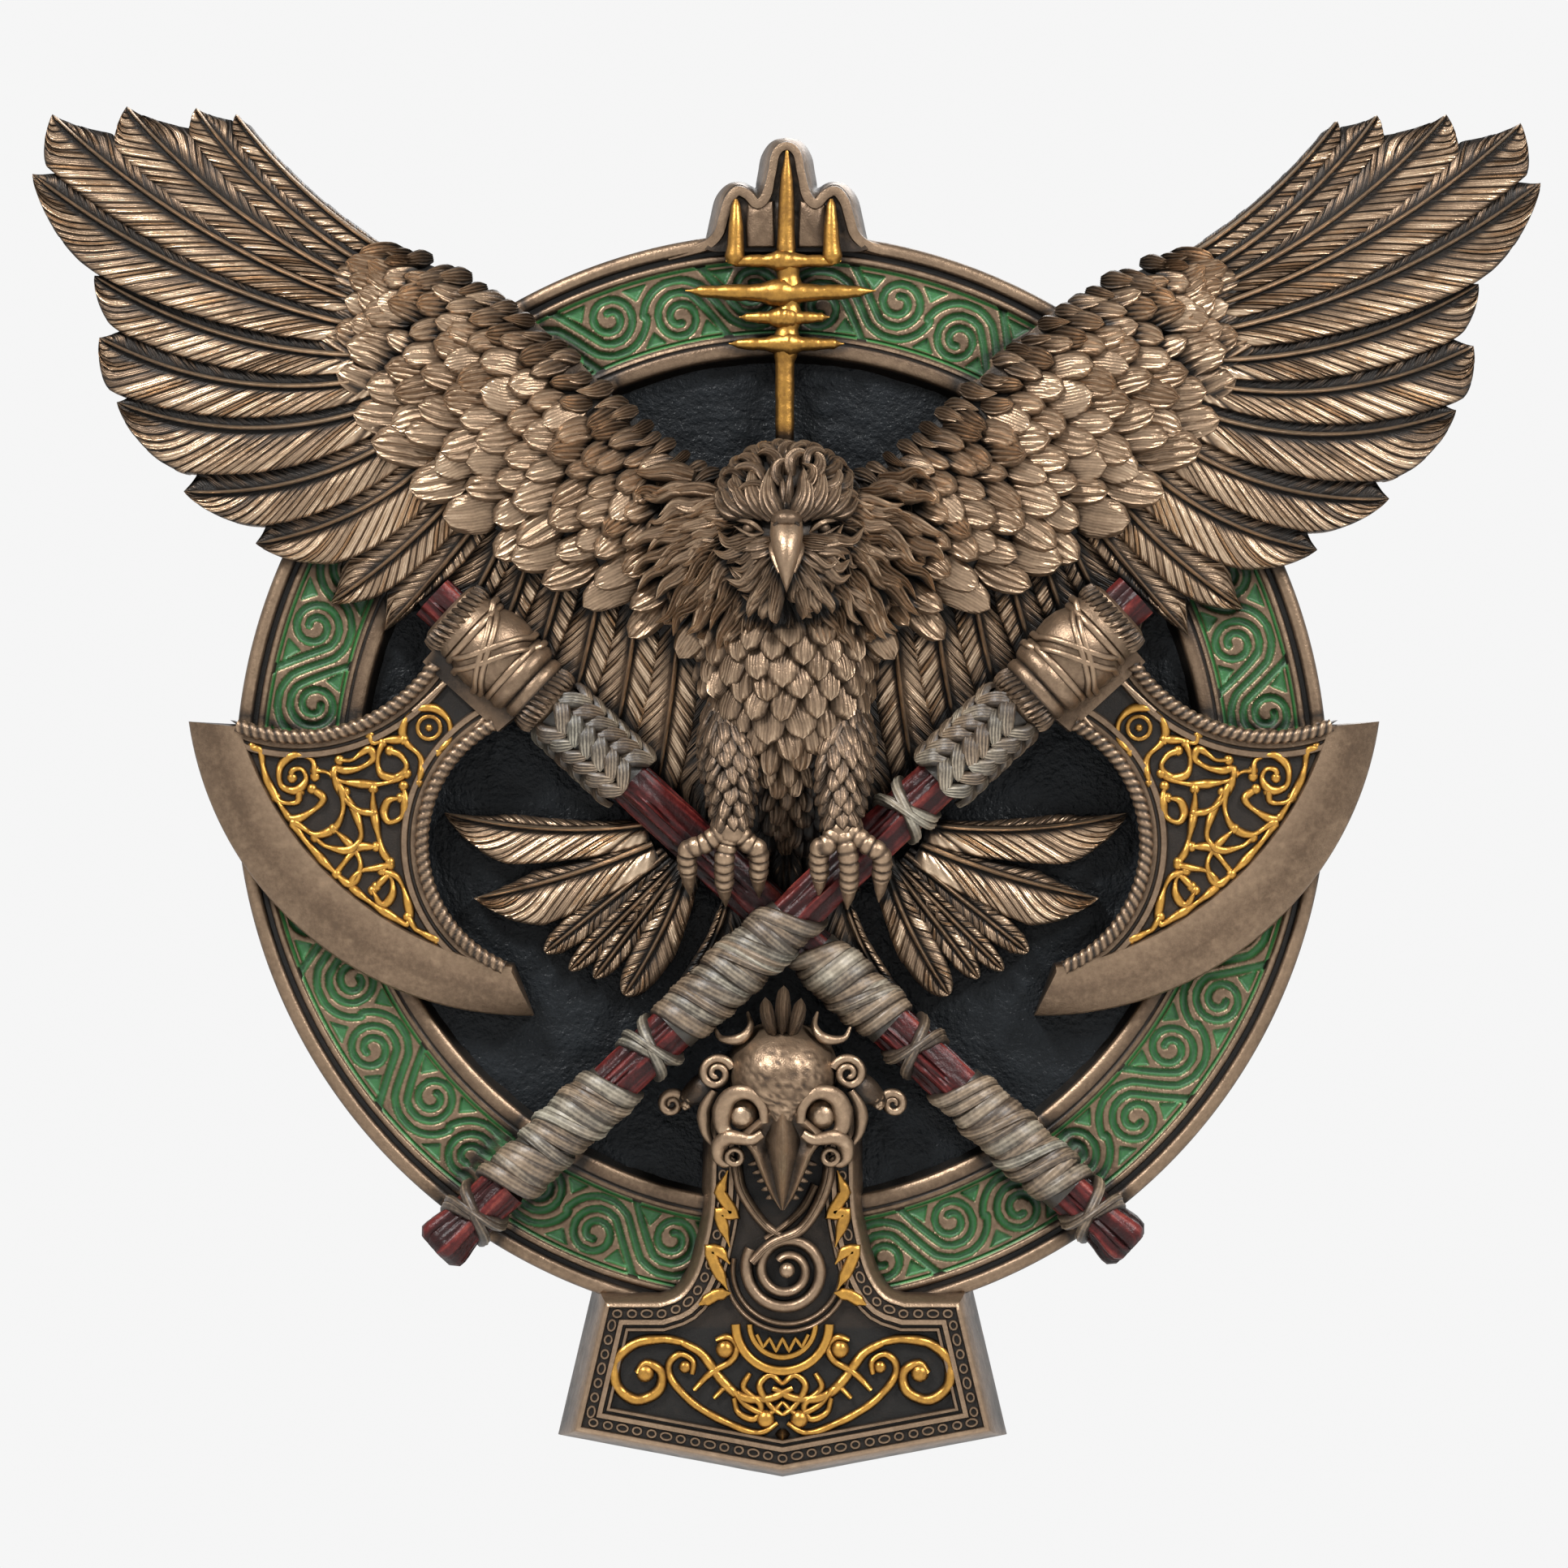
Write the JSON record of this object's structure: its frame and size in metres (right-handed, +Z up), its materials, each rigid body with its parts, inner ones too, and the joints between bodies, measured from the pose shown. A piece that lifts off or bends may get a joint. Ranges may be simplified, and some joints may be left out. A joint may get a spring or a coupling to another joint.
{
  "type": "shield wall plaque",
  "caption": "Round shield wall plaque in high relief: spread-winged eagle over crossed axes, trident spear above and hammer pendant below, spiral border.",
  "frame": {"origin": "centre of the shield disc on its flat back face, which lies against the wall", "axes": "+Z up, the relief faces -Y, +Y points into the wall, +X to the right of someone who looks at the front"},
  "size_m": [0.304, 0.06, 0.2771],
  "materials": {
    "bronze": "satin, rubbed bronze paint with dark recesses",
    "black_field": "half-gloss black, finely pebbled",
    "green": "half-gloss green paint in the carved spirals",
    "gold": "gold paint, picked out by hand",
    "red_wood": "dark red paint rubbed with bronze on the ridges",
    "binding": "grey-beige paint with dark and bronze streaks"
  },
  "bodies": {
    "root": {"plaque": "bronze"}
  },
  "joints": []
}
